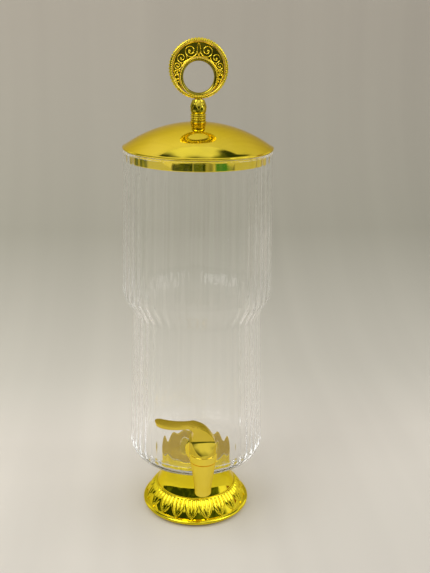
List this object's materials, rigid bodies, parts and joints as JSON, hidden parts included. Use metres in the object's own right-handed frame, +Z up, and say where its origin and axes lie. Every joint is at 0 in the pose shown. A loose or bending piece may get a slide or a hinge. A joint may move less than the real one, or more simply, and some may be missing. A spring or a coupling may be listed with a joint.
{
  "type": "glass beverage dispenser",
  "caption": "Tall two-tier fluted glass drink dispenser on a gold pedestal foot, with a lift-off domed lid, a beaded ring finial and a quarter-turn lever tap.",
  "frame": {"origin": "middle of the resting face, on the axis of the foot, vessel and lid", "axes": "+Z up along the vessel's axis; the tap points along -Y, and its lever rests pointing along -X"},
  "size_m": [0.16, 0.1952, 0.5216],
  "materials": {
    "lid_gold": "polished gold plating",
    "foot_gold": "polished lemon-gold plating",
    "tap_gold": "polished pale gold plating",
    "glass": "clear, fire polished",
    "steel": "plain machined",
    "silicone": "translucent, satin",
    "rubber": "matt"
  },
  "bodies": {
    "vessel_stand": {"foot_pad": "rubber", "foot_ring": "foot_gold", "neck": "foot_gold", "bridge_plate": "steel", "seat_plate": "foot_gold", "tie_rod": "steel", "rod_washer": "steel", "rod_nut": "steel", "seat_cushion": "silicone", "glass_vessel": "glass", "tap_body": "tap_gold", "tap_shank": "tap_gold", "tap_flange": "tap_gold", "outer_washer": "silicone", "inner_washer": "silicone", "steel_washer": "steel", "lock_nut": "tap_gold", "bonnet_nut": "steel"},
    "tap_valve": {"valve_plug": "steel", "plug_seals": "rubber", "tap_lever": "tap_gold", "lever_screw": "steel"},
    "lid": {"lid_dome": "lid_gold", "lid_collar": "lid_gold", "lid_seal": "silicone", "finial_stem": "lid_gold", "finial_calyx": "lid_gold", "finial_ring": "lid_gold", "finial_filigree": "lid_gold", "finial_screw": "steel", "finial_washer": "steel"}
  },
  "joints": [
    {"name": "tap_turn", "type": "hinge", "parent": "vessel_stand", "child": "tap_valve", "pos_m": [0, -0.101, 0.1086], "axis": [0, 0, 1], "range_deg": [0, 90]},
    {"name": "lid_lift", "type": "slide", "parent": "vessel_stand", "child": "lid", "axis": [0, 0, 1], "range_m": [0, 0.1]}
  ]
}
